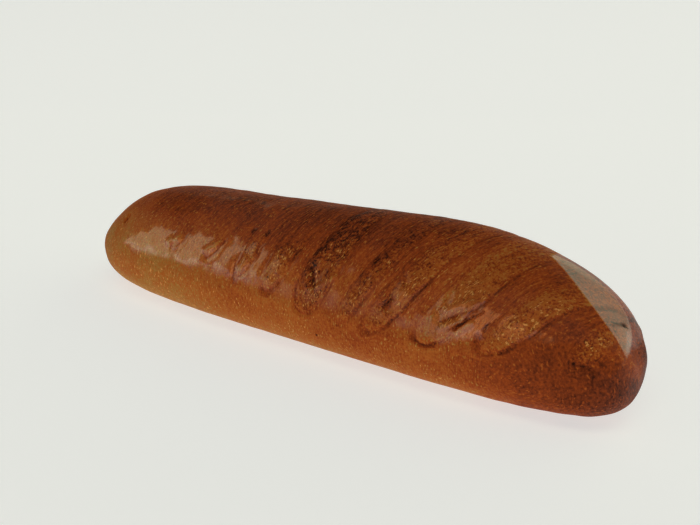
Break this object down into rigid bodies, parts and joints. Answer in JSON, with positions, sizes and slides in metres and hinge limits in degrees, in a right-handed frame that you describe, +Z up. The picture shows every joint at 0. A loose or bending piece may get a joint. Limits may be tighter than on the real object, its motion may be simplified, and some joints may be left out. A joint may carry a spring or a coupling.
{
  "type": "white loaf",
  "caption": "Long hand-shaped white loaf with a glossy brown crust, slanting slashes over its crown and a flat base to rest on.",
  "frame": {"origin": "bottom centre of the loaf's box, on the plane it rests on", "axes": "+X along the loaf towards its tapered end, +Z up, -Y the flank that the slashes lean down on"},
  "size_m": [0.3796, 0.1012, 0.0877],
  "materials": {
    "crust": null
  },
  "bodies": {
    "root": {"white_loaf": "crust"}
  },
  "joints": []
}
